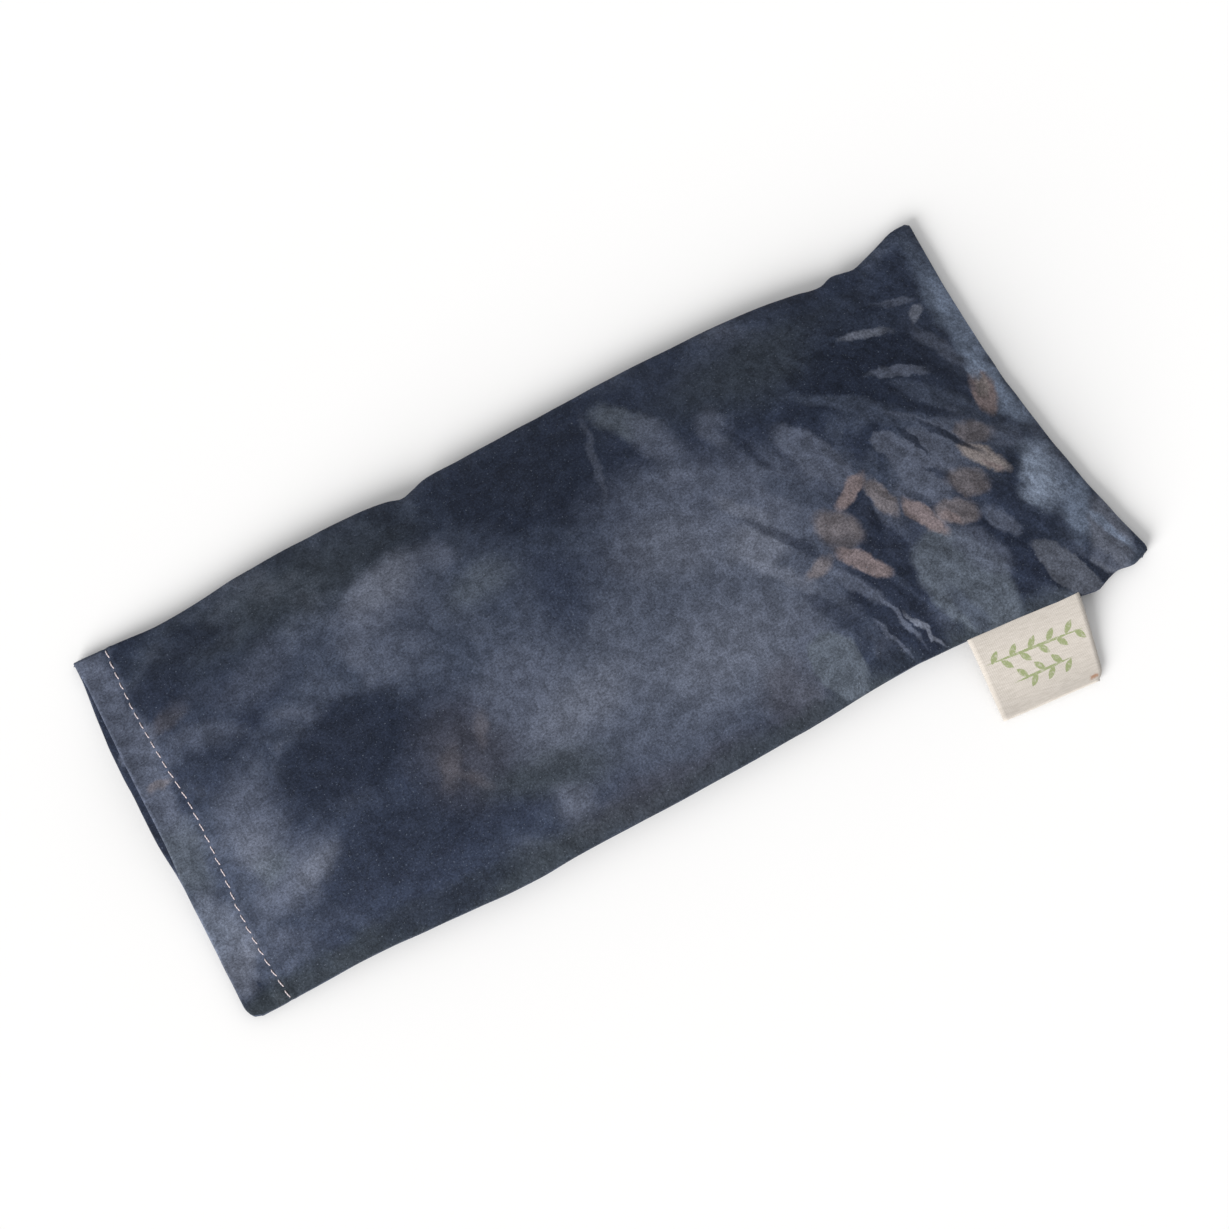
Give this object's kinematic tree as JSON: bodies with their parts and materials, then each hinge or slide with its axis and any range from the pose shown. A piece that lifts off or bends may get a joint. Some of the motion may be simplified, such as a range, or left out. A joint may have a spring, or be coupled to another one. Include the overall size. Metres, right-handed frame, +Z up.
{
  "type": "eye pillow",
  "caption": "Flat seed-filled eye pillow: silk cover with an open hemmed end and a folded side label, and a removable cotton pouch inside.",
  "frame": {"origin": "middle of the flat underside, on the surface that the pillow lies on", "axes": "+X from the open mouth to the sewn end, +Y to the left side seen from the mouth, +Z up"},
  "size_m": [0.2489, 0.1223, 0.021],
  "materials": {
    "silk": "satin",
    "dark_thread": "satin",
    "pale_thread": "satin",
    "label_tape": "matte",
    "muslin": "matte",
    "flax_seed": "satin",
    "lavender": "matte"
  },
  "bodies": {
    "cover": {"cover_upper_panel": "silk", "cover_lower_panel": "silk", "cover_left_seam_allowance": "silk", "cover_right_seam_allowance": "silk", "cover_end_seam_allowance": "silk", "cover_left_seam_stitching": "dark_thread", "cover_right_seam_stitching": "dark_thread", "cover_end_seam_stitching": "dark_thread", "upper_hem_stitching": "pale_thread", "lower_hem_stitching": "pale_thread"},
    "label": {"side_label": "label_tape"},
    "insert": {"pouch_upper_panel": "muslin", "pouch_lower_panel": "muslin", "pouch_left_seam_allowance": "muslin", "pouch_right_seam_allowance": "muslin", "pouch_end_seam_allowance": "muslin", "pouch_closing_edge": "muslin", "pouch_closing_stitching": "pale_thread", "flax_seed_fill": "flax_seed", "lavender_bud_fill": "lavender"}
  },
  "joints": [
    {"name": "insert_slide", "type": "slide", "parent": "cover", "child": "insert", "axis": [-1, 0, 0], "range_m": [0, 0.245], "deforming": ["cover_upper_panel", "upper_hem_stitching"]},
    {"name": "label_fold", "type": "hinge", "parent": "cover", "child": "label", "pos_m": [0.094, -0.04939, 0.00518], "axis": [-0.9969, 0.0785, 0], "range_deg": [0, 110]}
  ]
}
